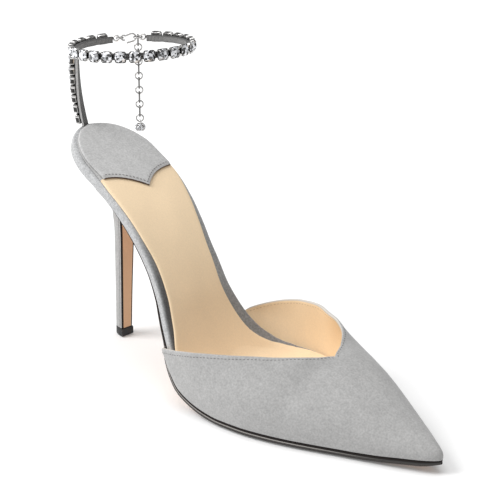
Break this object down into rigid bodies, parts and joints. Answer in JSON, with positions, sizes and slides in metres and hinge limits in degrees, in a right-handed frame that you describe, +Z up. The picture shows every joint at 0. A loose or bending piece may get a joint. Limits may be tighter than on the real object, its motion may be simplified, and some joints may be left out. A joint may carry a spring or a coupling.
{
  "type": "heeled ankle-strap pump",
  "caption": "Pointed-toe pump on a slim high heel, with an open waist and back and an ankle strap of set crystals that fastens with a hook and an extension chain.",
  "frame": {"origin": "on the floor, on the resting face of the heel's top piece", "axes": "+X towards the toe, +Y towards the inner side of the foot, +Z up"},
  "size_m": [0.2311, 0.0754, 0.1547],
  "materials": {
    "suede": "napped suede",
    "lining": "smooth lining leather",
    "sole_leather": "smooth sole leather",
    "rubber": "matt",
    "crystal": "cut and polished, in metal cups",
    "metal": "polished"
  },
  "bodies": {
    "shoe": {"outsole": "sole_leather", "insole_board": "suede", "insole_sock": "lining", "heel_pad": "suede", "heel": "suede", "top_piece": "rubber", "upper": "suede", "strap_band": "suede", "crystals_ankle": "crystal", "crystals_back": "crystal", "hook_ring": "metal", "hook": "metal", "catch_ring": "metal"},
    "chain": {"chain_link_1": "metal", "chain_ring_1": "metal", "chain_link_2": "metal", "chain_ring_2": "metal", "chain_link_3": "metal", "chain_ring_3": "metal", "chain_link_4": "metal", "chain_ring_4": "metal", "chain_link_5": "metal", "chain_ring_5": "metal", "chain_link_6": "metal", "chain_ring_6": "metal", "chain_drop": "crystal"}
  },
  "joints": [
    {"name": "chain_swing", "type": "hinge", "parent": "shoe", "child": "chain", "pos_m": [-0.01584, 0.02516, 0.14629], "axis": [0.6078, 0.7937, 0.0252], "range_deg": [0, 60]}
  ]
}
